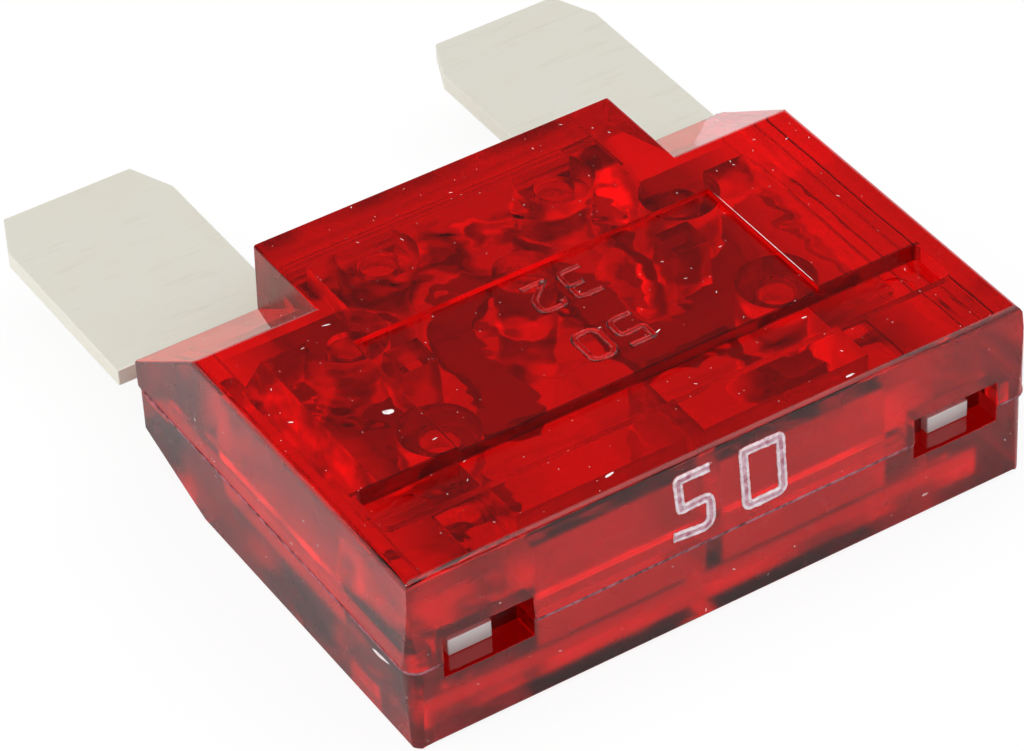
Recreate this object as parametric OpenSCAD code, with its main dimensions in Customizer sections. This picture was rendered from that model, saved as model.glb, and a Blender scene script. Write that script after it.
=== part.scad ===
// Large automotive blade fuse: two clear moulded shells around one stamped fuse element.
// X runs across the blades, Y from the end face to the blade tips, Z up through the thickness.
// The fuse lies on its back face, with the origin under the middle of its length and width.

/* [Housing] */
// Width of the housing across the parting line
housing_w = 29.2; // [28:0.1:36]
// Length of the housing, from the end face to the face that the blades leave
housing_l = 21.75; // [20:0.05:27]
// Thickness of the housing over both large faces
housing_t = 8.4; // [7.6:0.1:10.5]
// Height of the parting line above the back face
parting_z = 4; // [3.7:0.1:4.4]
// Radius of the four upright corners
corner_r = 0.7; // [0.4:0.05:1]
// Lean of each front shell wall between the parting line and the front face
front_lean = 0.27; // [0.1:0.01:0.4]
// Lean of each back shell wall between the parting line and the back face
back_lean = 0.06; // [0.02:0.01:0.2]
// How far the back shell stands in from the front shell at the parting line
seam_step = 0.08; // [0.02:0.01:0.2]
// Clear gap between the rims of the two shells
seam_gap = 0.03; // [0.01:0.01:0.05]

/* [Shoulders] */
// Width of the middle that keeps its full thickness between the blades
tongue_w = 17.3; // [15:0.1:20.8]
// Length of the bevelled shoulders
bevel_l = 5.35; // [3.5:0.05:6.4]
// Drop of the front bevel
front_bevel = 3.5; // [2.5:0.1:3.7]
// Rise of the back bevel
back_bevel = 1.9; // [1.2:0.1:2.3]

/* [Walls] */
// Thickness of the side walls at the parting line
side_wall = 2; // [1.6:0.1:2.4]
// Thickness of the end wall
end_wall = 2.2; // [1.9:0.1:2.6]
// Thickness of the wall that the blades pass through
blade_wall = 1.75; // [1.5:0.05:2.1]
// Thickness of the wall at each side of the middle
tongue_wall = 1.6; // [1.3:0.1:2]
// Thickness of the front face
front_wall = 1.9; // [1.6:0.1:2.2]
// Thickness of the back face
back_wall = 1.5; // [1.3:0.1:1.7]
// Slope of the main chamber's side walls, across its depth
chamber_slope = 1; // [0.5:0.1:1.4]
// Thickness of the rib between the two end chambers
rib_t = 0.8; // [0.6:0.1:1.2]

/* [Faces] */
// Distance of the grip groove from the end face
groove_y = 3.5; // [3:0.1:4.2]
// Width of the grip groove, along the fuse
groove_w = 2.4; // [1.8:0.1:2.9]
// Depth of the grip groove
groove_d = 0.7; // [0.4:0.05:0.8]
// Distance of the groove's ends from the sides of the housing
groove_side = 1.35; // [1:0.05:2]
// Width of the shallow centre panel
panel_w = 17; // [12:0.1:20]
// Length of the centre panel, from the groove
panel_l = 7.9; // [6:0.1:9.4]
// Depth of the centre panel
panel_d = 0.25; // [0.1:0.05:0.4]

/* [Fuse element] */
// Length of the whole fuse, from the end face to the blade tips
fuse_l = 34.3; // [30:0.1:41.2]
// Width of a blade
blade_w = 8; // [7:0.1:9.6]
// Thickness of the metal
blade_t = 0.8; // [0.6:0.05:1]
// Distance between the middles of the two blades
blade_pitch = 21.66; // [20:0.1:23.4]
// Chamfer of the blade tips, across the blade
tip_x = 0.92; // [0.5:0.05:2]
// Chamfer of the blade tips, along the blade
tip_y = 2.16; // [1:0.05:3.5]
// Distance of the blade shoulders from the housing
shoulder_gap = 0.8; // [0.3:0.05:1.5]
// Width of the neck that joins a blade to its inner plate
neck_w = 5.6; // [4.5:0.1:6]
// Cover of plastic beside the neck, to the housing's side
neck_cover = 1; // [0.8:0.05:1.6]
// Width of an inner plate
plate_w = 6; // [5:0.1:6.4]
// Width of a probe tip
probe_w = 2; // [1.6:0.1:2.4]
// Depth of the probe tips behind the end face
probe_depth = 1; // [0.6:0.05:1.2]
// Width of the fusible link
link_w = 1.8; // [1.2:0.1:2.4]
// Radius of the link's arch along its middle
arch_r = 3.1; // [2.8:0.1:3.3]
// Radius of the notches that narrow the link at the top of its arch
notch_r = 0.55; // [0.3:0.05:0.7]

/* [Fits] */
// Clearance of the element in its bed, on each side
bed_fit = 0.1; // [0.05:0.01:0.15]
// Clearance under the element
bed_gap = 0.02; // [0.01:0.01:0.05]
// Diameter of the locating pegs
peg_d = 1.6; // [1.3:0.05:2]
// Height of the pegs above the parting line
peg_h = 1.2; // [0.8:0.05:1.3]
// Clearance of a peg in its hole or socket, all round
peg_fit = 0.06; // [0.03:0.01:0.1]
// Wall of a boss around its socket
boss_wall = 0.85; // [0.6:0.05:1]
// Diameter of the middle posts inside the arch
post_d = 2.6; // [2:0.1:3]
// Width of the weld ridge on the back shell's rim
ridge_w = 0.5; // [0.4:0.05:0.6]
// Height of the weld ridge
ridge_h = 0.45; // [0.3:0.05:0.6]
// Clearance of the weld ridge in its groove
ridge_fit = 0.06; // [0.03:0.01:0.1]

/* [Probe slots] */
// Width of a slot's mouth
slot_w = 4.1; // [3.4:0.1:4.4]
// Height of a slot's mouth above the parting line
slot_up = 1.2; // [0.8:0.1:1.6]
// Depth of a slot's mouth
slot_depth = 1.3; // [1.25:0.05:1.7]
// How far a slot's middle lies inside its probe tip's
slot_shift = 0.3; // [0:0.05:0.4]

/* [Hidden] */
$fn = 48;

over = 1; // how far a cutting shape runs past what it cuts
side_x = housing_w / 2;
tongue_x = tongue_w / 2;
front_z = parting_z + seam_gap;
metal_z = parting_z - blade_t;
bed_z = metal_z - bed_gap;
roof_z = housing_t - front_wall;
bevel_y = housing_l - bevel_l;

// Main chamber, tongue chamber and end chambers
chamber_x = side_x - side_wall;
chamber_y = groove_y + groove_w + 0.5;
chamber_end = bevel_y - 0.6;
slot_wall = 0.7; // between a slot's mouth and the end chamber
tongue_chamber_x = tongue_x - tongue_wall;
tongue_chamber_end = housing_l - blade_wall;

// Inner plates, necks and probes of the right half. The plates' ends lie in solid plastic.
plate_gap = 0.3; // between a plate and the chamber's side
plate_seat = 1.2;
neck_seat = 0.6;
plate_out = chamber_x - plate_gap;
plate_in = plate_out - plate_w;
plate_y = chamber_y - plate_seat;
neck_out = side_x - neck_cover;
neck_in = neck_out - neck_w;
neck_y = tongue_chamber_end - neck_seat;
blade_in = (blade_pitch - blade_w) / 2;
blade_out = blade_in + blade_w;
blade_y = housing_l + shoulder_gap;
probe_in = plate_out - probe_w;
slot_x = plate_out - probe_w / 2 - slot_shift;
slot_in = slot_x - slot_w / 2;
end_chamber_x = slot_in - slot_wall;

// Link, with the arch's top near the end of the tongue chamber
arch_gap = 1.4;
link_y = chamber_y + 3.2;
arch_y = tongue_chamber_end - arch_gap - arch_r - link_w / 2;
arch_out = arch_r + link_w / 2;
arch_in = arch_r - link_w / 2;
arch_steps = 24;

// Pegs through the plates, and pegs between the shells
socket_r = peg_d / 2 + peg_fit;
boss_r = socket_r + boss_wall;
peg_in = 1.7; // from a plate's inner edge to its pegs
plate_pegs = [[plate_in + peg_in, chamber_y + 1.8], [plate_in + peg_in, chamber_end - 0.6]];
shell_peg = [plate_in - plate_gap - boss_r, tongue_chamber_end - 1];
socket_over = 0.2; // from a peg's top to its socket's end
pad = 1.6; // side of the square pads that press on the plates
pad_at = [plate_in + 0.2, (plate_pegs[0][1] + plate_pegs[1][1]) / 2 + 1.1];

// Weld ridges, each from a first to a second point on the rim. They stop short of the slots and the necks.
ridge_stop = ridge_w / 2 + 0.35;
ridge_x = side_x - side_wall / 2;
ridge_slot = slot_in - ridge_stop;
ridge_neck = neck_in - bed_fit - ridge_stop;
ridge_end = neck_y - bed_fit - ridge_stop;
wall_y = housing_l - blade_wall / 2;
ridge_top = 0.1; // between a ridge's top and its groove
ridges = [
    [[ridge_x, slot_depth], [ridge_x, ridge_end]],
    [[-ridge_x, slot_depth], [-ridge_x, ridge_end]],
    [[-ridge_slot, end_wall / 2], [ridge_slot, end_wall / 2]],
    [[-ridge_neck, wall_y], [ridge_neck, wall_y]],
];

// Round corners of the grip groove, and the round mould marks near its ends
groove_r = 0.35;
mark_r = 0.75;
mark_in = 1.85;
mark_d = 0.08;

// Shallow line along the back shell's sides, which bends down near the end face
line_d = 0.05;
line_z = back_bevel + 0.3;
line_low = line_z - 0.9;
line_y = [groove_y + 1, groove_y + groove_w + 2.4];
line_steps = 10;

// Mirrored copies at both sides
module both_sides() {
    children();
    mirror([1, 0, 0]) children();
}

// An outline of X and Z points, pulled along Y
module pull_y(from, to, outline) {
    translate([0, to, 0])
        rotate([90, 0, 0])
            linear_extrude(to - from)
                polygon(outline);
}

// An outline of Y and Z points, pulled along X
module pull_x(from, to, outline) {
    translate([from, 0, 0])
        rotate([90, 0, 90])
            linear_extrude(to - from)
                polygon(outline);
}

// A rectangle from one corner to the other, with rounded corners
module round_plan(low, high, r) {
    size = high - low;
    translate(low + [r, 0]) square([size[0] - 2 * r, size[1]]);
    translate(low + [0, r]) square([size[0], size[1] - 2 * r]);
    for (x = [low[0] + r, high[0] - r], y = [low[1] + r, high[1] - r])
        translate([x, y]) circle(r);
}

// A block from one corner to the other
module block(low, high) {
    translate(low) cube(high - low);
}

// The body of a shell: a rounded plan whose walls lean in from rim_z to face_z
module leaning_block(rim_z, face_z, step, lean) {
    x = side_x - step;
    near = step;
    far = housing_l - step;
    intersection() {
        translate([0, 0, min(rim_z, face_z)])
            linear_extrude(abs(face_z - rim_z))
                round_plan([-x, near], [x, far], corner_r);
        pull_y(-over, housing_l + over,
            [[-x, rim_z], [x, rim_z], [x - lean, face_z], [lean - x, face_z]]);
        pull_x(-side_x - over, side_x + over,
            [[near, rim_z], [far, rim_z], [far - lean, face_z], [near + lean, face_z]]);
    }
}

// Wedges that bevel the shoulders beside the tongue, on the face at face_z
module shoulder_cuts(face_z, drop) {
    out = sign(drop) * over;
    run = (bevel_l + over) / bevel_l;
    both_sides()
        pull_x(tongue_x, side_x + over, [
            [bevel_y, face_z],
            [housing_l + over, face_z - drop * run],
            [housing_l + over, face_z + out],
            [bevel_y, face_z + out]
        ]);
}

// Grip groove, centre panel and round mould marks, cut into the face at face_z.
// out is 1 on the front face and -1 on the back face.
module face_cuts(face_z, out) {
    groove_x = side_x - groove_side;
    groove_end = groove_y + groove_w;
    cut_from(face_z, out, groove_d)
        round_plan([-groove_x, groove_y], [groove_x, groove_end], groove_r);
    cut_from(face_z, out, panel_d)
        translate([-panel_w / 2, groove_y + groove_r])
            square([panel_w, groove_w + panel_l - groove_r]);
    cut_from(face_z, out, groove_d + mark_d)
        both_sides()
            translate([groove_x - mark_in, groove_y + groove_w / 2]) circle(mark_r);
}

// A plan sunk to a depth below the face at face_z
module cut_from(face_z, out, depth) {
    bottom = out > 0 ? face_z - depth : face_z - over;
    translate([0, 0, bottom])
        linear_extrude(depth + over)
            children();
}

// The hollow of a shell between the rim at rim_z and its floor or roof at floor_z
module chambers(rim_z, floor_z) {
    past = rim_z > floor_z ? rim_z + over : rim_z - over;
    low = min(past, floor_z);
    high = max(past, floor_z);
    sloped = chamber_x - chamber_slope;
    pull_y(chamber_y, chamber_end, [
        [-chamber_x, past], [chamber_x, past], [chamber_x, rim_z],
        [sloped, floor_z], [-sloped, floor_z], [-chamber_x, rim_z]
    ]);
    block([-tongue_chamber_x, chamber_end - over, low], [tongue_chamber_x, tongue_chamber_end, high]);
    both_sides()
        block([rib_t / 2, end_wall, low], [end_chamber_x, chamber_y + over, high]);
}

// The bars that the weld ridges are made of, and the grooves for them, wider by fit on each side
module ridge_bars(low, high, fit) {
    for (r = ridges)
        block(
            [min(r[0][0], r[1][0]) - ridge_w / 2 - fit, min(r[0][1], r[1][1]) - ridge_w / 2 - fit, low],
            [max(r[0][0], r[1][0]) + ridge_w / 2 + fit, max(r[0][1], r[1][1]) + ridge_w / 2 + fit, high]
        );
}

// The mouths of the two probe slots, from low to high
module slot_mouths(low, high) {
    both_sides()
        block([slot_in, -over, low], [slot_in + slot_w, slot_depth, high]);
}

// Copies at every locating peg: the two of each plate and the one between the shells
module at_pegs() {
    both_sides()
        for (p = concat(plate_pegs, [shell_peg]))
            translate(p) children();
}

module front_shell() {
    color([0.72, 0.03, 0.05, 0.75])
        place()
            difference() {
                union() {
                    difference() {
                        leaning_block(front_z, housing_t, 0, front_lean);
                        chambers(front_z, roof_z);
                    }
                    front_posts();
                }
                shoulder_cuts(housing_t, front_bevel);
                face_cuts(housing_t, 1);
                slot_mouths(front_z - over, parting_z + slot_up);
                ridge_bars(front_z - over, parting_z + ridge_h + ridge_top, ridge_fit);
                at_pegs()
                    translate([0, 0, front_z - over])
                        cylinder(h = over + peg_h + socket_over, r = socket_r);
            }
}

// Socket bosses, middle post and pressing pads, hanging from the roof to the rim plane
module front_posts() {
    height = roof_z - front_z + front_wall / 2;
    translate([0, 0, front_z]) {
        at_pegs()
            cylinder(h = height, r = boss_r);
        translate([0, arch_y, 0])
            cylinder(h = height, r = post_d / 2);
        both_sides()
            translate(pad_at - [pad, pad] / 2)
                cube([pad, pad, height]);
    }
}

module back_shell() {
    color([0.62, 0.02, 0.04, 0.75])
        place() {
            difference() {
                union() {
                    difference() {
                        leaning_block(parting_z, 0, seam_step, back_lean);
                        chambers(parting_z, back_wall);
                        element_bed();
                        slot_mouths(metal_z, parting_z + over);
                    }
                    back_posts();
                }
                shoulder_cuts(0, -back_bevel);
                face_cuts(0, -1);
                side_line();
            }
            ridge_bars(parting_z - ridge_h, parting_z + ridge_h, 0);
        }
}

// The bed that the element lies in, where the shell is solid
module element_bed() {
    top = parting_z + over;
    both_sides() {
        block([plate_in - bed_fit, plate_y - bed_fit, bed_z], [plate_out + bed_fit, neck_y + bed_fit, top]);
        block([neck_in - bed_fit, neck_y - bed_fit, bed_z], [neck_out + bed_fit, housing_l + over, top]);
        block([probe_in - bed_fit, -over, bed_z], [plate_out + bed_fit, chamber_y, top]);
    }
}

// Bosses with their pegs, and the middle post, standing on the floor
module back_posts() {
    floor_z = back_wall / 2;
    both_sides() {
        for (p = plate_pegs)
            translate([p[0], p[1], floor_z]) {
                cylinder(h = bed_z - floor_z, r = boss_r);
                cylinder(h = parting_z + peg_h - floor_z, r = peg_d / 2);
            }
        translate([shell_peg[0], shell_peg[1], floor_z]) {
            cylinder(h = parting_z - floor_z, r = boss_r);
            cylinder(h = parting_z + peg_h - floor_z, r = peg_d / 2);
        }
    }
    translate([0, arch_y, floor_z])
        cylinder(h = parting_z - floor_z, r = post_d / 2);
}

// The sides below the line stand in a little
module side_line() {
    bend = [for (i = [0:line_steps])
        let (t = i / line_steps)
        [line_y[0] + (line_y[1] - line_y[0]) * t, line_low + (line_z - line_low) * (1 - cos(180 * t)) / 2]];
    both_sides()
        pull_x(side_x - seam_step - line_d, side_x + over, concat(
            [[-over, -over], [-over, line_low]],
            bend,
            [[housing_l + over, line_z], [housing_l + over, -over]]
        ));
}

module fuse_element() {
    color([0.86, 0.85, 0.79])
        place()
            translate([0, 0, metal_z])
                linear_extrude(blade_t)
                    difference() {
                        polygon(concat(
                            half_outline, arch(arch_out, 0, 180),
                            mirrored(half_outline), arch(arch_in, 180, 0)
                        ));
                        for (side = [-1, 1], p = plate_pegs)
                            translate([side * p[0], p[1]]) circle(socket_r);
                        for (r = [arch_out, arch_in])
                            translate([0, arch_y + r]) circle(notch_r);
                    }
}

// Right half of the stamping's outline: from the link's inner edge round the inner plate, the probe tip,
// the neck and the blade, and back to the link's outer edge
half_outline = [
    [arch_in, link_y], [plate_in, link_y], [plate_in, plate_y],
    [probe_in, plate_y], [probe_in, probe_depth], [plate_out, probe_depth],
    [plate_out, neck_y], [neck_out, neck_y], [neck_out, blade_y],
    [blade_out, blade_y], [blade_out, fuse_l - tip_y], [blade_out - tip_x, fuse_l],
    [blade_in + tip_x, fuse_l], [blade_in, fuse_l - tip_y], [blade_in, blade_y],
    [neck_in, blade_y], [neck_in, neck_y], [plate_in, neck_y],
    [plate_in, link_y + link_w], [arch_out, link_y + link_w]
];

// Points of the link's arch round the middle post, from one angle to another
function arch(r, from, to) = [for (i = [0:arch_steps])
    let (a = from + (to - from) * i / arch_steps)
    [r * cos(a), arch_y + r * sin(a)]];

// The same points at the other side, in reverse order
function mirrored(points) = [for (i = [len(points) - 1:-1:0]) [-points[i][0], points[i][1]]];

// The origin lies under the middle of the fuse's length
module place() {
    translate([0, -fuse_l / 2, 0]) children();
}

front_shell();
back_shell();
fuse_element();
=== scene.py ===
import math
import random

import bmesh
import bpy
from mathutils import Matrix, Vector

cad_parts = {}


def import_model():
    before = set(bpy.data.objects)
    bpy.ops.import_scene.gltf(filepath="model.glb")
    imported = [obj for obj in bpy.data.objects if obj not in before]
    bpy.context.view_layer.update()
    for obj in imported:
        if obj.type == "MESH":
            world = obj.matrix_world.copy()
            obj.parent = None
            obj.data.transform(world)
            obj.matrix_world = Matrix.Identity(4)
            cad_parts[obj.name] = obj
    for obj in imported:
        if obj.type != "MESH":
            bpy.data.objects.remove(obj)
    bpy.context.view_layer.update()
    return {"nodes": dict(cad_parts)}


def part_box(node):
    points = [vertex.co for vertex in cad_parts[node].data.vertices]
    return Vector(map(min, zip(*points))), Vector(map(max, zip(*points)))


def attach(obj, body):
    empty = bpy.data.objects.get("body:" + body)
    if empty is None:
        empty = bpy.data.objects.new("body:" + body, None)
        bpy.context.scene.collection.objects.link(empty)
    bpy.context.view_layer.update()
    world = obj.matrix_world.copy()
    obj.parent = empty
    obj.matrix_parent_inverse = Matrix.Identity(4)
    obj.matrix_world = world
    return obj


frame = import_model()
scene = bpy.context.scene
scene.view_settings.view_transform = "Standard"

MM = 0.001
# The end face's place along Y, and the parting line's height
END_Y = -17.15 * MM
PARTING_Z = 4 * MM
SHELLS = ("front_shell", "back_shell")

# Camera: the image's width and the focal length in pixels, its sensor, its place and its own axes
IMAGE_WIDTH = 1024
FOCAL_PIXELS = 4795.68
SENSOR_MM = 36
CAMERA_PLACE = (-0.077526, -0.133572, 0.128366)
CAMERA_RIGHT = Vector((0.84320, -0.53581, -0.04386))
CAMERA_UP = Vector((0.37126, 0.52136, 0.76834))
CAMERA_BACK = Vector((-0.38882, -0.66415, 0.63853))

# Lamps: name, place, width and power. They look at a point in the middle of the fuse.
LAMPS = (
    ("key", (-0.3, 0.0, 0.4), 0.6, 1.32),
    ("fill", (0.35, -0.15, 0.35), 0.6, 0.9),
    ("top", (0.0, -0.05, 0.5), 0.8, 0.96),
)
LAMP_AIM = (0, 0, 0.004)

# World: its plain level, and in mirror images the heights between which it darkens, and its level above
STUDIO_LEVEL = 0.5
SKY_HEIGHTS = (0.25, 0.5)
SKY_LEVEL = 0.1

# Floor: half its width in metres, its height, its colour, the share of it that glows and so shows no
# shadow, and what the camera sees more of that
FLOOR_HALF = 1
FLOOR_Z = -0.1 * MM
FLOOR_WHITE = (0.9, 0.9, 0.9, 1)
GLOW_SHARE = 0.4
CAMERA_GLOW = 0.48
# Seen through the plastic, it has a painted shadow under the fuse: half the shaded part's size, its level
# and its soft edge
SHADOW_HALF = (7 * MM, 17 * MM, 0)
SHADOW_LEVEL = 0.56
SHADOW_FADE = 14 * MM
# It also has painted shade in front, as a start and an end along Y, with the level at the start
FRONT_SEEN_THROUGH = (-18 * MM, -9 * MM, 0.6)
FRONT_MIRRORED = (-18 * MM, -15 * MM, 0.2)
# Mirrored, it has painted shade close beside the fuse: a start and an end away from the middle, and both
# levels
ASIDE_MIRRORED = (15.5 * MM, 20 * MM, 0.35, 0.85)

# Red plastic: what its body lets through and how dense it is, its refraction, and the colour of its surface
# in general and where shade is painted in
RED_THROUGH = (0.985, 0.03, 0.03, 1)
RED_DENSITY = 1200
RED_IOR = 1.58
RED_SURFACE = (1, 0.05, 0.05, 1)
RED_PAINTED_SHADE = (0.16, 0.02, 0.02, 1)
# Its lumps: width in mm, height, their strength on the outside, and their strength under the panel, against
# 1 at the left side and in the tongue
LUMP_SIZE = 2.4
LUMP_HEIGHT = 0.5 * MM
LUMPS_OUTSIDE = 0.06
LUMPS_CALM = 0.45
# Where the lumps grow to the left, and towards the tongue: a start and an end
LEFT_GROWTH = (-6 * MM, -9 * MM)
TONGUE_GROWTH = (-4 * MM, -1.5 * MM)
# The noise levels between which the tongue's lumps get painted shade
LUMPS_PAINTED_DARK = (0.5, 0.58)
# How far each plastic's lumps are turned, in degrees, so that no two are alike
FRONT_TURN = 17
BACK_TURN = 31
RAISED_TURN = 11
# Its roughness: between the lumps, on them outside, on them inside, and what upright faces have more
ROUGH_LOW = 0.02
ROUGH_OUTSIDE = 0.08
ROUGH_INSIDE = 0.12
ROUGH_UPRIGHT = 0.22
# Boxes, in mm from the end face, whose borders run inside the housing's walls round the hollow chambers
CHAMBERS = (((-13.1, 1.1, 1), (13.1, 16.9, 7.3)), ((-7.3, 16.5, 1), (7.3, 20.4, 7.3)))
# Boxes, in mm from the middle and the end face, that hold the walls of the probe slots and the groove's far
# wall, which get painted shade. Each counts on both sides of the middle.
PAINTED_SHADE_BOXES = (((9, 0.12, 3), (13.5, 1.5, 5.4)), ((-1, 5.8, 7.5), (13.4, 6, 8.5)))

# Metal: two mottled tints, the tint of its faint lines and their share, its painted shade inside the housing,
# darker in the middle than towards the sides, with the bounds between them, and the painted light on the
# probe tips
METAL_TINTS = ((0.86, 0.83, 0.7, 1), (0.88, 0.87, 0.8, 1))
METAL_LINES = (0.74, 0.71, 0.6, 1)
METAL_LINES_SHARE = 0.3
METAL_SHADED_INSIDE = ((0.3, 0.28, 0.25, 1), (0.85, 0.82, 0.74, 1))
METAL_SHADE_BOUNDS = (9.5 * MM, 12.5 * MM)
METAL_PAINTED_LIGHT_TINT = (0.96, 0.96, 0.95, 1)
# The width of its mottling, its grain and its lines in mm, how the lines are stretched, and the grain's
# height
MOTTLE_SIZE = 3
GRAIN_SIZE = 0.09
LINE_SIZE = 0.35
LINE_STRETCH = (0.12, 1, 1)
GRAIN_HEIGHT = 0.03 * MM
METALLIC = 0.55
METAL_ROUGH = (0.42, 0.62)
# Boxes, in mm from the end face, that hold the probe tips' ends, which get painted light
LIT_TIP_BOXES = (((-13, 0.5, 3), (-9, 1.6, 4.2)), ((9, 0.5, 3), (13, 1.6, 4.2)))
# The box, in mm from the end face, in which the metal under the housing gets painted shade
HOUSING_INSIDE = ((-15, 1.6, 0), (15, 18, 9))

# Plastics that scatter the light: the width of their patches in mm, the patches' height, and each plastic's
# dark and light tint
PATCH_SIZE = 0.35
PATCH_HEIGHT = 0.05 * MM
PATCH_ROUGH = (0.25, 0.55)
# The ridges' paler tint is partly frosted plastic and partly a painted highlight along the raised edges
RIDGE_HIGHLIGHT_TINTS = ((0.62, 0.45, 0.5), (0.88, 0.78, 0.82))
BAND_TINTS = ((0.4, 0.1, 0.16), (0.66, 0.42, 0.5))
# The flash's dark tint is painted shade: the shadow line under the parting step
FLASH_SHADE_TINTS = ((0.07, 0.004, 0.008), (0.42, 0.14, 0.18))
# The dust's tint also serves a painted highlight along the panel's edge
SPECK_AND_HIGHLIGHT_TINTS = ((0.75, 0.6, 0.6), (0.95, 0.9, 0.9))

# The raised numerals on the end face: each stroke is a list of corners (across, up, rounding) in mm
END_NUMERALS = (
    (
        (-0.72, 7.55, 0),
        (-2.2, 7.55, 0.1),
        (-2.13, 6.12, 0.06),
        (-0.76, 6.18, 0.35),
        (-0.76, 4.76, 0.55),
        (-2.53, 4.92, 0),
    ),
    ((0.86, 7.5, 0.3), (2.6, 7.48, 0.12), (2.62, 4.84, 0.35), (0.9, 4.84, 0.22), (0.86, 7.5, 0)),
)
# Plain digits on a cell 1 wide and 1.6 high, as strokes like those above
DIGITS = {
    "0": (((0, 0.8, 0), (0, 1.6, 0.4), (1, 1.6, 0.4), (1, 0, 0.4), (0, 0, 0.4), (0, 0.8, 0)),),
    "2": (((0, 1.3, 0), (0, 1.6, 0.28), (1, 1.6, 0.35), (1, 0.9, 0.3), (0, 0, 0.05), (1, 0, 0)),),
    "3": (
        ((0, 1.6, 0), (1, 1.6, 0.3), (1, 0.85, 0.25), (0.35, 0.85, 0)),
        ((0.35, 0.85, 0), (1, 0.85, 0.25), (1, 0, 0.35), (0, 0, 0)),
    ),
    "5": (((1, 1.6, 0), (0, 1.6, 0.08), (0, 0.9, 0.08), (1, 0.95, 0.3), (1, 0, 0.4), (0, 0, 0)),),
}
# Numbers on the panel: piece, digits and the place of the first cell's corner, in mm. Then a digit's width
# in mm, and the step from digit to digit in widths.
PANEL_NUMBERS = (("panel_number_upper", "32", (1.6, 12.9)), ("panel_number_lower", "50", (1.6, 9.2)))
PANEL_SIZE = 1.1
PANEL_PITCH = 1.55
# Width and height of the strokes in mm, where the panel's width is a share of the size
NUMERAL_STROKE = (0.42, 0.11)
PANEL_STROKE = (0.28, 0.07)
FLASH_STROKE = (0.12, 0.035)
# A stroke's step along its line and the gap that closes a ring, as shares of its width, how ragged it is
# across, and its range of heights
STROKE_STEP = 0.3
RING_GAP = 0.1
RAGGED = 0.04
RAGGED_HEIGHTS = (0.8, 1.2)
# A stroke's cross-section, as shares of its width and height, and the faces that belong to its two ridges
STROKE_SECTION = (
    (-0.5, -0.4), (-0.48, 0.5), (-0.36, 1), (-0.21, 0.5), (0, 0.4),
    (0.21, 0.5), (0.36, 1), (0.48, 0.5), (0.5, -0.4),
)
RIDGE_FACES = (0, 1, 2, 5, 6, 7)

# The housing's outline at the parting line: half its width, how far it is followed from the end face, and
# its corners' radius
OUTLINE = (14.6, 21, 0.56)
# How far from the middle a probe slot's mouth ends and starts, in mm, with a little to spare
SLOT_MOUTH = (13.12, 8.88)
# The flash starts and ends this far along the outline, its middle lies this high, and the wall is measured
# this far above the parting line, in mm
FLASH_START = 0.3
FLASH_Z = 4.03
WALL_ABOVE = 0.07

# Specks on each side of the housing: the way to look at it, and how many are tried
SPECK_SIDES = (
    ((0, 0, -1), 230), ((0, 0, 1), 60), ((0, 1, 0), 45), ((0, -1, 0), 40), ((1, 0, 0), 40), ((-1, 0, 0), 40),
)
# Widths of small and large specks in mm with the share of small ones, and the lengths of round and long
# ones, against their width, with the share of round ones
SPECK_WIDTHS = ((0.02, 0.04), (0.05, 0.07), 0.97)
SPECK_LENGTHS = (1.3, (3, 6), 0.75)
# A speck's corners, how far each strays in its turn and its range of reach, and its height and depth
# against its width
SPECK_CORNERS = 7
SPECK_STRAY = 0.3
SPECK_REACH = (0.75, 1.2)
SPECK_HEIGHT = 0.35
SPECK_DEPTH = 0.2
# The largest scuffs, and last a painted highlight along the panel's right edge: a point in mm from the end
# face, the way to look at it, its direction, length and width
SCUFFS_AND_HIGHLIGHT = (
    (-16, 2.4, 3.35, (1, 0, 0), (0, -1, 0.12), 1.3, 0.2),
    (16, 1, 1.9, (-1, 0, 0), (0, 0.1, 1), 0.9, 0.25),
    (-9.6, 9.3, 9, (0, 0, -1), (1, -0.3, 0), 0.5, 0.28),
    (-12.6, 3.9, 9, (0, 0, -1), (0.4, -1, 0), 0.35, 0.22),
    (-4.6, 1.2, 9, (0, 0, -1), (1, 0.2, 0), 0.5, 0.14),
    (6.3, 0.7, 9, (0, 0, -1), (1, 0, 0), 0.4, 0.12),
    # A painted highlight: a pale sliver along the panel's right edge
    (8.54, 9.9, 9, (0, 0, -1), (0, 1, 0), 7.8, 0.035),
)

# Rounded edges: the full radius on the shells and on the element, and the shares of it that the shells'
# edges have
SHELL_ROUNDING = 0.5 * MM
ELEMENT_ROUNDING = 0.06 * MM
FRONT_SHARE = 0.6
BACK_SHARE = 0.25
# The shortest edge and the smallest turn that are rounded on the shells
LONG_EDGE = 3 * MM
LEAST_TURN = math.radians(12)
# In mm: where the tongue starts from the end face, the heights between which edges stay sharp, with the top
# one in the tongue, and the height up to which an edge is the back face's
TONGUE_Y = 16
SHARP_HEIGHTS = (0.9, 6)
SHARP_IN_TONGUE = 4.5
BACK_Z = 2
# The Bevel modifiers' steps, and their least turn on the element. Vertices closer than the gap are joined
# first.
BEVEL_STEPS = 3
ELEMENT_TURN = math.radians(35)
JOINED_GAP = 0.0004 * MM
# In mm: how far outside the housing a look at it starts, the same for the walls at the parting line, and
# the height from which the front face is looked at. Then how far an edge is left before looking outwards
# from it.
LOOK_FROM = 5
LOOK_AT_WALL = 2
LOOK_DOWN_Z = 12
LEAVE_EDGE = 0.02 * MM
# Where the grooves and the panel lie: the bounds in mm from the end face, and half their width. Their edges
# stay.
SUNK_PLACES = ((2, 6, 13.5), (5.5, 14.5, 9))


def from_end(x, y, z):
    """A point given in mm from the end face, in the frame's metres"""
    return Vector((x * MM, y * MM + END_Y, z * MM))


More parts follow.
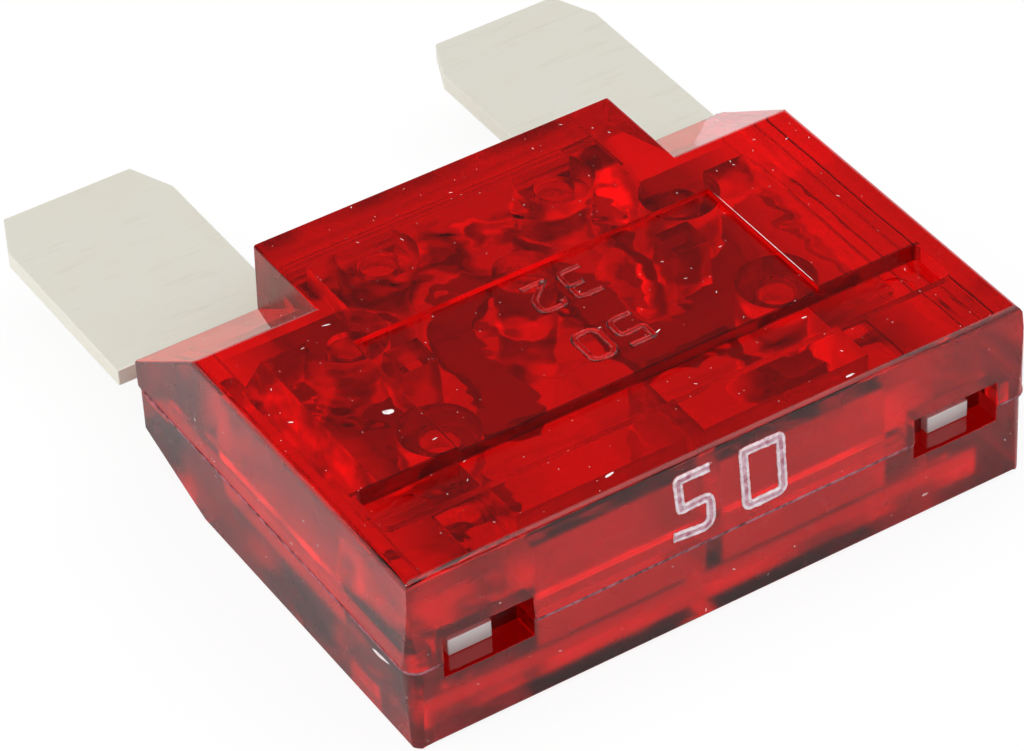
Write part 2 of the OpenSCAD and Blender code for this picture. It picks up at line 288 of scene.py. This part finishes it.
class Tree:
    """A node tree, with short ways to add and join its nodes"""

    def __init__(self, owner):
        owner.use_nodes = True
        self.nodes = owner.node_tree.nodes
        self.links = owner.node_tree.links
        self.nodes.clear()

    def add(self, kind, inputs=(), **settings):
        node = self.nodes.new(kind)
        for key, value in settings.items():
            setattr(node, key, value)
        for socket, value in dict(inputs).items():
            self.put(node.inputs[socket], value)
        return node

    def put(self, socket, value):
        if isinstance(value, bpy.types.NodeSocket):
            self.links.new(value, socket)
        else:
            socket.default_value = value

    def math(self, operation, *values):
        return self.add("ShaderNodeMath", dict(enumerate(values)), operation=operation).outputs[0]

    def vector(self, operation, *values):
        return self.add("ShaderNodeVectorMath", dict(enumerate(values)), operation=operation).outputs[0]

    def place(self):
        return self.add("ShaderNodeTexCoord").outputs["Object"]

    def parts(self, vector):
        """The three parts of a vector"""
        return self.add("ShaderNodeSeparateXYZ", {0: vector}).outputs

    def turned(self, vector, scale, angles=(0, 0, 0)):
        values = {"Vector": vector, "Scale": scale, "Rotation": [math.radians(angle) for angle in angles]}
        return self.add("ShaderNodeMapping", values).outputs[0]

    def noise(self, vector, size, detail=3, rough=0.55, warp=0):
        """Noise whose blotches are about this many mm across"""
        values = {
            "Vector": vector,
            "Scale": 1 / (size * MM),
            "Detail": detail,
            "Roughness": rough,
            "Distortion": warp,
        }
        return self.add("ShaderNodeTexNoise", values).outputs["Fac"]

    def ramp(self, value, *stops):
        node = self.add("ShaderNodeValToRGB", {0: value})
        elements = node.color_ramp.elements
        while len(elements) < len(stops):
            elements.new(0.5)
        for element, (position, shade) in zip(elements, stops):
            element.position = position
            grey = isinstance(shade, (int, float))
            element.color = (shade, shade, shade, 1) if grey else (*shade, 1)
        return node.outputs[0]

    def blend(self, share, first, second):
        node = self.add("ShaderNodeMix", {0: share}, data_type="RGBA")
        self.put(node.inputs[6], first)
        self.put(node.inputs[7], second)
        return node.outputs[2]

    def rise(self, value, start, end, low=0, high=1):
        """Low where the value is at its start and high at its end, and even between them"""
        return self.add("ShaderNodeMapRange", {0: value, 1: start, 2: end, 3: low, 4: high}).outputs[0]

    def between(self, share, low, high):
        return self.rise(share, 0, 1, low, high)

    def bump(self, height, strength, distance):
        values = {"Height": height, "Strength": strength, "Distance": distance}
        return self.add("ShaderNodeBump", values).outputs[0]

    def in_boxes(self, vector, boxes):
        """1 inside any of the boxes, each given by two corners in mm from the end face, and 0 elsewhere"""
        found = 0
        for low, high in boxes:
            low, high = from_end(*low), from_end(*high)
            middle = (low + high) / 2
            away = self.vector("ABSOLUTE", self.vector("SUBTRACT", vector, middle))
            past = self.parts(self.vector("SUBTRACT", away, high - middle))
            furthest = self.math("MAXIMUM", self.math("MAXIMUM", past[0], past[1]), past[2])
            found = self.math("MAXIMUM", found, self.math("LESS_THAN", furthest, 0))
        return found

    def end(self, surface, **more):
        """Ends a material's tree with a plain shader that has these inputs"""
        shader = self.add("ShaderNodeBsdfPrincipled", surface)
        self.add("ShaderNodeOutputMaterial", {"Surface": shader.outputs[0], **more})


def new_material(name):
    m = bpy.data.materials.new(name)
    return m, Tree(m)


def camera():
    """The camera, at the photograph's viewing angle"""
    data = bpy.data.cameras.new("camera")
    data.sensor_width = SENSOR_MM
    data.lens = FOCAL_PIXELS / IMAGE_WIDTH * SENSOR_MM
    data.clip_start = 0.01
    data.clip_end = 10
    cam = bpy.data.objects.new("camera", data)
    axes = Matrix((CAMERA_RIGHT, CAMERA_UP, CAMERA_BACK)).transposed().to_4x4()
    cam.matrix_world = Matrix.Translation(CAMERA_PLACE) @ axes
    scene.collection.objects.link(cam)
    scene.camera = cam


def clear_red(name, turn):
    """Clear red plastic: hazy on upright faces, lumpy in the chambers, with painted shade in a few places"""
    m, t = new_material(name)
    place = t.place()
    inside = t.in_boxes(place, CHAMBERS)
    across, along, up = t.parts(place)
    at_left = t.rise(across, *LEFT_GROWTH, LUMPS_CALM, 1)
    at_tongue = t.rise(along, *TONGUE_GROWTH)
    lumpy = t.math("MULTIPLY", inside, t.math("MAXIMUM", at_left, at_tongue))
    facing = t.parts(t.add("ShaderNodeTexCoord").outputs["Normal"])[2]
    upright = t.math("LESS_THAN", t.math("ABSOLUTE", facing), 0.5)
    lumps = t.noise(t.turned(place, (1, 1, 1), (turn, 2 * turn, 3 * turn)), LUMP_SIZE, 2, 0.35)
    # Painted shade: lumps in the tongue turn dark
    light, dark = LUMPS_PAINTED_DARK
    in_tongue = t.math("MULTIPLY", inside, at_tongue)
    painted_dark_lumps = t.math("MULTIPLY", t.ramp(lumps, (light, 0), (dark, 1)), in_tongue)
    # Painted shade: a darker colour on the probe slots' walls and the groove's far wall, and on the tongue's
    # dark lumps
    folded = t.add("ShaderNodeCombineXYZ", {0: t.math("ABSOLUTE", across), 1: along, 2: up}).outputs[0]
    painted_shade = t.math("MAXIMUM", t.in_boxes(folded, PAINTED_SHADE_BOXES), painted_dark_lumps)
    rough = t.between(lumps, ROUGH_LOW, t.between(inside, ROUGH_OUTSIDE, ROUGH_INSIDE))
    body = t.add("ShaderNodeVolumeAbsorption", {"Color": RED_THROUGH, "Density": RED_DENSITY})
    surface = {
        "Base Color": t.blend(painted_shade, RED_SURFACE, RED_PAINTED_SHADE),
        "Transmission Weight": 1,
        "IOR": RED_IOR,
        "Roughness": t.math("ADD", rough, t.math("MULTIPLY", upright, ROUGH_UPRIGHT)),
        "Normal": t.bump(lumps, t.math("MAXIMUM", lumpy, LUMPS_OUTSIDE), LUMP_HEIGHT),
    }
    t.end(surface, Volume=body.outputs[0])
    return m


def dull_silver(name):
    """Dull silver of the stamped element: mottled, with fine grain and faint lines across the blades, painted
    shade under the housing and painted light on the probe tips
    """
    m, t = new_material(name)
    place = t.place()
    mottle = t.noise(place, MOTTLE_SIZE, 4, 0.6, 0.4)
    grain = t.noise(place, GRAIN_SIZE, 3)
    lines = t.ramp(t.noise(t.turned(place, LINE_STRETCH), LINE_SIZE, 3, 0.6), (0.3, 0), (0.42, 1))
    colour = t.blend(mottle, *METAL_TINTS)
    on_lines = t.math("MULTIPLY", t.math("SUBTRACT", 1, lines), METAL_LINES_SHARE)
    colour = t.blend(on_lines, colour, METAL_LINES)
    # Painted shade on the metal inside the housing, darkest in the middle
    towards_side = t.rise(t.math("ABSOLUTE", t.parts(place)[0]), *METAL_SHADE_BOUNDS)
    colour = t.blend(t.in_boxes(place, (HOUSING_INSIDE,)), colour, t.blend(towards_side, *METAL_SHADED_INSIDE))
    # Painted light on the probe tips' ends
    colour = t.blend(t.in_boxes(place, LIT_TIP_BOXES), colour, METAL_PAINTED_LIGHT_TINT)
    height = t.math("ADD", t.math("MULTIPLY", grain, 0.5), t.math("MULTIPLY", lines, 0.3))
    t.end({
        "Base Color": colour,
        "Metallic": METALLIC,
        "Roughness": t.between(grain, *METAL_ROUGH),
        "Normal": t.bump(height, 0.25, GRAIN_HEIGHT),
    })
    return m


def frosted(name, tints):
    """Roughened plastic of raised lines and dust, which looks pale because it scatters the light, with
    painted highlights on the end numerals' ridges and along the panel's edge, and painted shade on the
    parting flash
    """
    m, t = new_material(name)
    patches = t.noise(t.place(), PATCH_SIZE, 4, 0.6, 0.5)
    dark, light = tints
    t.end({
        "Base Color": t.ramp(patches, (0.35, dark), (0.6, light)),
        "Roughness": t.between(patches, *PATCH_ROUGH),
        "Normal": t.bump(patches, 0.5, PATCH_HEIGHT),
    })
    return m


def floor():
    """A white floor just under the fuse, which keeps its shadow, and has painted shadows where it is seen
    through the plastic and mirrored
    """
    mesh = bpy.data.meshes.new("floor")
    h = FLOOR_HALF
    mesh.from_pydata([(-h, -h, 0), (h, -h, 0), (h, h, 0), (-h, h, 0)], [], [(0, 1, 2, 3)])
    o = bpy.data.objects.new("floor", mesh)
    o.location.z = FLOOR_Z
    scene.collection.objects.link(o)
    m, t = new_material("floor_white")
    ray = t.add("ShaderNodeLightPath").outputs
    white = t.add("ShaderNodeBsdfDiffuse", {"Color": FLOOR_WHITE})
    mirrored = t.math("SUBTRACT", ray["Is Glossy Ray"], ray["Is Transmission Ray"])
    place = t.place()
    across, along = t.parts(place)[:2]
    # Painted shade in the floor's mirror image, in front of the fuse and close beside it
    start, end, level = FRONT_MIRRORED
    in_front = t.rise(along, start, end, level, 1)
    mirror_level = t.math("MULTIPLY", in_front, t.rise(t.math("ABSOLUTE", across), *ASIDE_MIRRORED))
    # Painted shadow seen through the plastic: under the fuse and in front of it
    past = t.vector("SUBTRACT", t.vector("ABSOLUTE", place), SHADOW_HALF)
    beside = t.vector("MAXIMUM", past, (0, 0, 0))
    away = t.add("ShaderNodeVectorMath", {0: beside}, operation="LENGTH").outputs["Value"]
    start, end, level = FRONT_SEEN_THROUGH
    front_share = t.rise(along, start, end, level, 1)
    through = t.math("MULTIPLY", t.rise(away, 0, SHADOW_FADE, SHADOW_LEVEL, 1), front_share)
    strength = t.between(mirrored, 1, mirror_level)
    strength = t.between(ray["Is Transmission Ray"], strength, through)
    glow = t.add("ShaderNodeEmission", {"Strength": strength})
    share = t.math("ADD", GLOW_SHARE, t.math("MULTIPLY", ray["Is Camera Ray"], CAMERA_GLOW))
    share = t.math("MAXIMUM", share, ray["Is Transmission Ray"])
    both = t.add("ShaderNodeMixShader", {0: share, 1: white.outputs[0], 2: glow.outputs[0]})
    t.add("ShaderNodeOutputMaterial", {"Surface": both.outputs[0]})
    m.cycles.emission_sampling = "NONE"
    mesh.materials.append(m)


def lamp(name, place, width, power):
    data = bpy.data.lights.new(name, "AREA")
    data.shape = "DISK"
    data.size = width
    data.energy = power
    o = bpy.data.objects.new(name, data)
    o.location = place
    o.rotation_euler = (Vector(LAMP_AIM) - Vector(place)).to_track_quat("-Z", "Y").to_euler()
    scene.collection.objects.link(o)


def world():
    """A white studio, whose mirror image is white near the horizon and dark above"""
    w = bpy.data.worlds.new("studio")
    t = Tree(w)
    height = t.parts(t.add("ShaderNodeTexCoord").outputs["Generated"])[2]
    ray = t.add("ShaderNodeLightPath").outputs
    low, high = SKY_HEIGHTS
    sky = t.ramp(height, (low, 1), (high, SKY_LEVEL))
    shade = t.blend(ray["Is Glossy Ray"], (STUDIO_LEVEL, STUDIO_LEVEL, STUDIO_LEVEL, 1), sky)
    shade = t.blend(ray["Is Transmission Ray"], shade, (1, 1, 1, 1))
    shade = t.blend(ray["Is Camera Ray"], shade, (1, 1, 1, 1))
    light = t.add("ShaderNodeBackground", {"Color": shade})
    t.add("ShaderNodeOutputWorld", {"Surface": light.outputs[0]})
    scene.world = w


def rounded(corners):
    """Points along a line through these corners, each of which is cut to a smooth curve"""
    points = [Vector(corners[0][:2])]
    steps = 8
    for before, (x, y, r), after in zip(corners, corners[1:], corners[2:]):
        corner = Vector((x, y))
        start = corner + (Vector(before[:2]) - corner).normalized() * r
        end = corner + (Vector(after[:2]) - corner).normalized() * r
        for k in range(steps + 1):
            f = k / steps
            points.append(start * (1 - f) ** 2 + corner * 2 * f * (1 - f) + end * f**2)
    points.append(Vector(corners[-1][:2]))
    return points


def sliced(points, step):
    """The same line with points no more than a step apart"""
    fine = []
    for a, b in zip(points, points[1:]):
        n = math.ceil((b - a).length / step)
        fine += [a.lerp(b, k / n) for k in range(n)]
    return fine + [points[-1]]


def first_hit(start, heading):
    """Where a line first meets the housing, and the surface's normal there, or None"""
    hits = []
    for node in SHELLS:
        hit, point, normal, _ = frame["nodes"][node].ray_cast(start, heading)
        if hit:
            hits.append(((point - start).length, point, normal))
    return min(hits, key=lambda h: h[0])[1:] if hits else None


def on_end_face(p, out):
    """The point of the end face at p, across and up in mm, raised by out"""
    found = first_hit(from_end(p.x, -LOOK_FROM, p.y), Vector((0, 1, 0)))[0]
    return found - Vector((0, out * MM, 0))


def on_front_face(p, out):
    """The point of the front face at p, across and along in mm, raised by out"""
    found = first_hit(from_end(p.x, p.y, LOOK_DOWN_Z), Vector((0, 0, -1)))[0]
    return found + Vector((0, 0, out * MM))


def round_the_parting(s):
    """The outline's point s mm from its start at the left blade, and the way outwards there"""
    half, reach, r = OUTLINE
    side = reach - r
    end = 2 * (half - r)
    arc = math.pi / 2 * r
    if s > side + arc + end / 2:
        (x, y), (nx, ny) = round_the_parting(2 * (side + arc) + end - s)
        return (-x, y), (-nx, ny)
    if s < side:
        return (-half, reach - s), (-1, 0)
    if s < side + arc:
        turn = (s - side) / r
        point = (r - half - r * math.cos(turn), r - r * math.sin(turn))
        return point, (-math.cos(turn), -math.sin(turn))
    return (r - half + s - side - arc, 0), (0, -1)


def on_parting(p, out):
    """The point of the side walls at p, along the parting line and up in mm, pushed out by out"""
    (x, y), (nx, ny) = round_the_parting(p.x)
    outwards = Vector((nx, ny, 0))
    start = from_end(x, y, PARTING_Z / MM + WALL_ABOVE) + outwards * LOOK_AT_WALL * MM
    found = first_hit(start, -outwards)[0]
    found.z = p.y * MM
    return found + outwards * out * MM


def stroke(bm, corners, lay, wide, high, rng):
    """A raised stroke: a low band between two ragged ridges, whose faces have the material indices 1 and 0"""
    line = sliced(rounded(corners), wide * STROKE_STEP)
    ring = (line[0] - line[-1]).length < wide * RING_GAP
    if ring:
        line.pop()
    rows = []
    for i, p in enumerate(line):
        before = line[i - 1] if ring or i else p
        after = line[(i + 1) % len(line)] if ring or i < len(line) - 1 else p
        along = (after - before).normalized()
        side = Vector((-along.y, along.x))
        row = []
        for s, out in STROKE_SECTION:
            spot = p + side * (s + rng.uniform(-RAGGED, RAGGED)) * wide
            row.append(bm.verts.new(lay(spot, out * high * rng.uniform(*RAGGED_HEIGHTS))))
        rows.append(row)
    count = len(STROKE_SECTION)
    for a, b in zip(rows, rows[1:] + (rows[:1] if ring else [])):
        for k in range(count):
            n = (k + 1) % count
            face = bm.faces.new((a[k], a[n], b[n], b[k]))
            face.material_index = 0 if k in RIDGE_FACES else 1
            face.smooth = True
    if not ring:
        bm.faces.new(rows[0])
        bm.faces.new(reversed(rows[-1]))


def piece(name, bm, materials):
    """A new piece of the housing's own plastic, which stays with the housing"""
    bmesh.ops.recalc_face_normals(bm, faces=bm.faces)
    mesh = bpy.data.meshes.new(name)
    bm.to_mesh(mesh)
    bm.free()
    for m in materials:
        mesh.materials.append(m)
    o = bpy.data.objects.new(name, mesh)
    scene.collection.objects.link(o)
    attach(o, "root")


def end_numerals(materials):
    rng = random.Random(3)
    bm = bmesh.new()
    for corners in END_NUMERALS:
        stroke(bm, corners, on_end_face, *NUMERAL_STROKE, rng)
    piece("end_numerals", bm, materials)


def panel_number(name, digits, place, materials):
    """Plain digits moulded on the front panel, to be read from the blades' side"""
    rng = random.Random(5)
    bm = bmesh.new()
    wide, high = PANEL_STROKE
    for k, digit in enumerate(digits):
        for corners in DIGITS[digit]:
            turned = [
                (place[0] - (x + PANEL_PITCH * k) * PANEL_SIZE, place[1] - y * PANEL_SIZE, r * PANEL_SIZE)
                for x, y, r in corners
            ]
            stroke(bm, turned, on_front_face, PANEL_SIZE * wide, high, rng)
    piece(name, bm, materials)


def parting_flash(materials):
    """The thin ragged ridge that the mould leaves along the parting line, broken at the probe slots, dark
    with painted shade of the step's shadow
    """
    half, reach, r = OUTLINE
    turned = reach - r + math.pi / 2 * r
    total = 2 * (turned + half - r)
    before_slot, past_slot = (turned + half - r - x for x in SLOT_MOUTH)
    rng = random.Random(9)
    bm = bmesh.new()
    stretches = (
        (FLASH_START, before_slot),
        (past_slot, total - past_slot),
        (total - before_slot, total - FLASH_START),
    )
    for start, end in stretches:
        stroke(bm, ((start, FLASH_Z, 0), (end, FLASH_Z, 0)), on_parting, *FLASH_STROKE, rng)
    piece("parting_flash", bm, materials)


def lump(bm, point, normal, along, length, width, rng):
    """A small flat grain or sliver that lies on the surface"""
    side = normal.cross(along).normalized()
    along = side.cross(normal)
    top = bm.verts.new(point + normal * width * SPECK_HEIGHT)
    under = bm.verts.new(point - normal * width * SPECK_DEPTH)
    rim = []
    for k in range(SPECK_CORNERS):
        angle = math.tau * (k + rng.uniform(-SPECK_STRAY, SPECK_STRAY)) / SPECK_CORNERS
        reach = rng.uniform(*SPECK_REACH) / 2
        ahead = along * math.cos(angle) * length * reach
        aside = side * math.sin(angle) * width * reach
        rim.append(bm.verts.new(point + ahead + aside))
    for p, q in zip(rim, rim[1:] + rim[:1]):
        bm.faces.new((top, p, q))
        bm.faces.new((under, q, p))


def specks(name, m):
    """Dust, lint and scuffs on the housing, and a painted highlight along the panel's right edge"""
    rng = random.Random(7)
    low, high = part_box("front_shell")
    middle = (Vector(low) + Vector(high)) / 2
    reach = (Vector(high) - Vector(low)) / 2
    reach.z = PARTING_Z
    small, large, small_share = SPECK_WIDTHS
    round_length, long_lengths, round_share = SPECK_LENGTHS
    bm = bmesh.new()
    for heading, count in SPECK_SIDES:
        heading = Vector(heading)
        for _ in range(count):
            spot = Vector([rng.uniform(-r, r) for r in reach])
            spot -= heading * (spot.dot(heading) + 0.05)
            found = first_hit(Vector((middle.x, middle.y, PARTING_Z)) + spot, heading)
            if not found:
                continue
            point, normal = found
            along = Vector([rng.uniform(-1, 1) for _ in range(3)])
            widths = small if rng.random() < small_share else large
            width = rng.uniform(*widths) * MM
            length = width * (round_length if rng.random() < round_share else rng.uniform(*long_lengths))
            lump(bm, point, normal, along, length, width, rng)
    # The last of these is no scuff but a pale sliver along the panel's right edge, a painted highlight
    for x, y, z, heading, along, length, width in SCUFFS_AND_HIGHLIGHT:
        heading = Vector(heading)
        found = first_hit(from_end(x, y, z) - heading * LOOK_FROM * MM, heading)
        if found:
            lump(bm, *found, Vector(along), length * MM, width * MM, rng)
    piece(name, bm, [m])


def paint(node, m):
    materials = frame["nodes"][node].data.materials
    materials.clear()
    materials.append(m)


def nearly(p):
    """A key that two vertices at one place share"""
    return tuple(round(c / MM, 3) for c in p)


def rounding_share(p, length):
    """How much of the full rounding an outer edge gets, by its middle and its length: 0 for none"""
    x, y, z = p.x / MM, (p.y - END_Y) / MM, p.z / MM
    in_tongue = y > TONGUE_Y
    low_z, high_z = SHARP_HEIGHTS
    near_parting = low_z < z < (SHARP_IN_TONGUE if in_tongue else high_z)
    sunk = any(low < y < high and abs(x) < across for low, high, across in SUNK_PLACES)
    if length < LONG_EDGE or near_parting or sunk:
        return 0
    return BACK_SHARE if in_tongue or z < BACK_Z else FRONT_SHARE


def weigh_outer_edges(node):
    """Marks the convex edges on the outside of a shell for its Bevel modifier"""
    mesh = frame["nodes"][node].data
    keys = [nearly(v.co) for v in mesh.vertices]
    sides = {}
    for polygon in mesh.polygons:
        for a, b in polygon.edge_keys:
            sides.setdefault(frozenset((keys[a], keys[b])), []).append(polygon)
    weights = mesh.attributes.new("bevel_weight_edge", "FLOAT", "EDGE")
    for edge, weight in zip(mesh.edges, weights.data):
        a, b = edge.vertices
        both = sides.get(frozenset((keys[a], keys[b])), ())
        if len(both) != 2:
            continue
        first, second = both
        hollow = (second.center - first.center).dot(first.normal) > 0
        if first.normal.angle(second.normal, 0) < LEAST_TURN or hollow:
            continue
        ends = [mesh.vertices[i].co for i in (a, b)]
        middle = (ends[0] + ends[1]) / 2
        out = (first.normal + second.normal).normalized()
        if first_hit(middle + out * LEAVE_EDGE, out) is None:
            weight.value = rounding_share(middle, (ends[0] - ends[1]).length)


def soften(node, width, limit):
    """Small rounded edges, which catch the light"""
    weld = frame["nodes"][node].modifiers.new("joined_faces", "WELD")
    weld.merge_threshold = JOINED_GAP
    bevel = frame["nodes"][node].modifiers.new("soft_edges", "BEVEL")
    bevel.width = width
    bevel.segments = BEVEL_STEPS
    bevel.limit_method = limit
    bevel.angle_limit = ELEMENT_TURN
    bevel.use_clamp_overlap = False
    bevel.harden_normals = True


# Three lamps need no light tree, and the render takes less time without it
scene.cycles.use_light_tree = False
camera()
world()
floor()
for values in LAMPS:
    lamp(*values)

paint("front_shell", clear_red("front_red", FRONT_TURN))
paint("back_shell", clear_red("back_red", BACK_TURN))
paint("fuse_element", dull_silver("dull_silver"))

end_numerals((frosted("numeral_ridge_highlight", RIDGE_HIGHLIGHT_TINTS), frosted("numeral_band", BAND_TINTS)))
raised = (clear_red("raised_red", RAISED_TURN),) * 2
for name, digits, place in PANEL_NUMBERS:
    panel_number(name, digits, place, raised)
parting_flash((frosted("flash_painted_shade", FLASH_SHADE_TINTS),) * 2)
specks("surface_specks_and_highlight", frosted("speck_and_highlight_plastic", SPECK_AND_HIGHLIGHT_TINTS))

for node in SHELLS:
    weigh_outer_edges(node)
    soften(node, SHELL_ROUNDING, "WEIGHT")
soften("fuse_element", ELEMENT_ROUNDING, "ANGLE")
